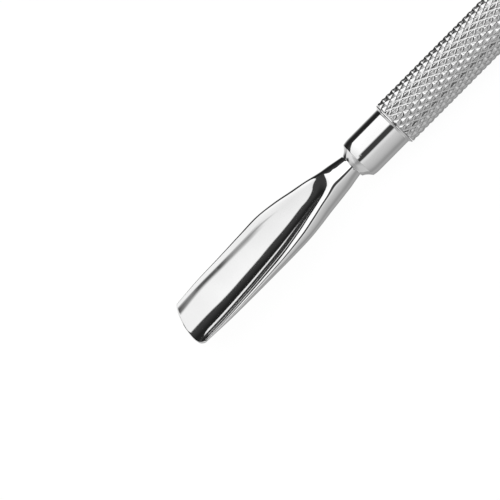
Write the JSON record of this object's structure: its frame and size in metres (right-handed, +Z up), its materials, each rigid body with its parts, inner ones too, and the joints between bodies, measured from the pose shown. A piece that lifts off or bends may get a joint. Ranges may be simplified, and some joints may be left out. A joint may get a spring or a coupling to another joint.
{
  "type": "cuticle pusher",
  "caption": "Double-ended manicure hand tool: knurled steel handle, trough-shaped cuticle pusher blade at one end, narrow pointed nail-cleaner blade at the other.",
  "frame": {"origin": "on the surface the tool lies on, under the middle of its overall box", "axes": "X along the tool, pusher tip at -X and nail cleaner tip at +X; +Z up, the way both troughs open"},
  "size_m": [0.134, 0.009, 0.0069],
  "materials": {
    "knurled_steel": "diamond knurled, lightly polished",
    "polished_steel": "turned and mirror polished",
    "blade_steel": "mirror polished"
  },
  "bodies": {
    "root": {"handle_tube": "knurled_steel", "pusher_collar": "polished_steel", "cleaner_collar": "polished_steel", "pusher_blade": "blade_steel", "cleaner_blade": "blade_steel"}
  },
  "joints": []
}
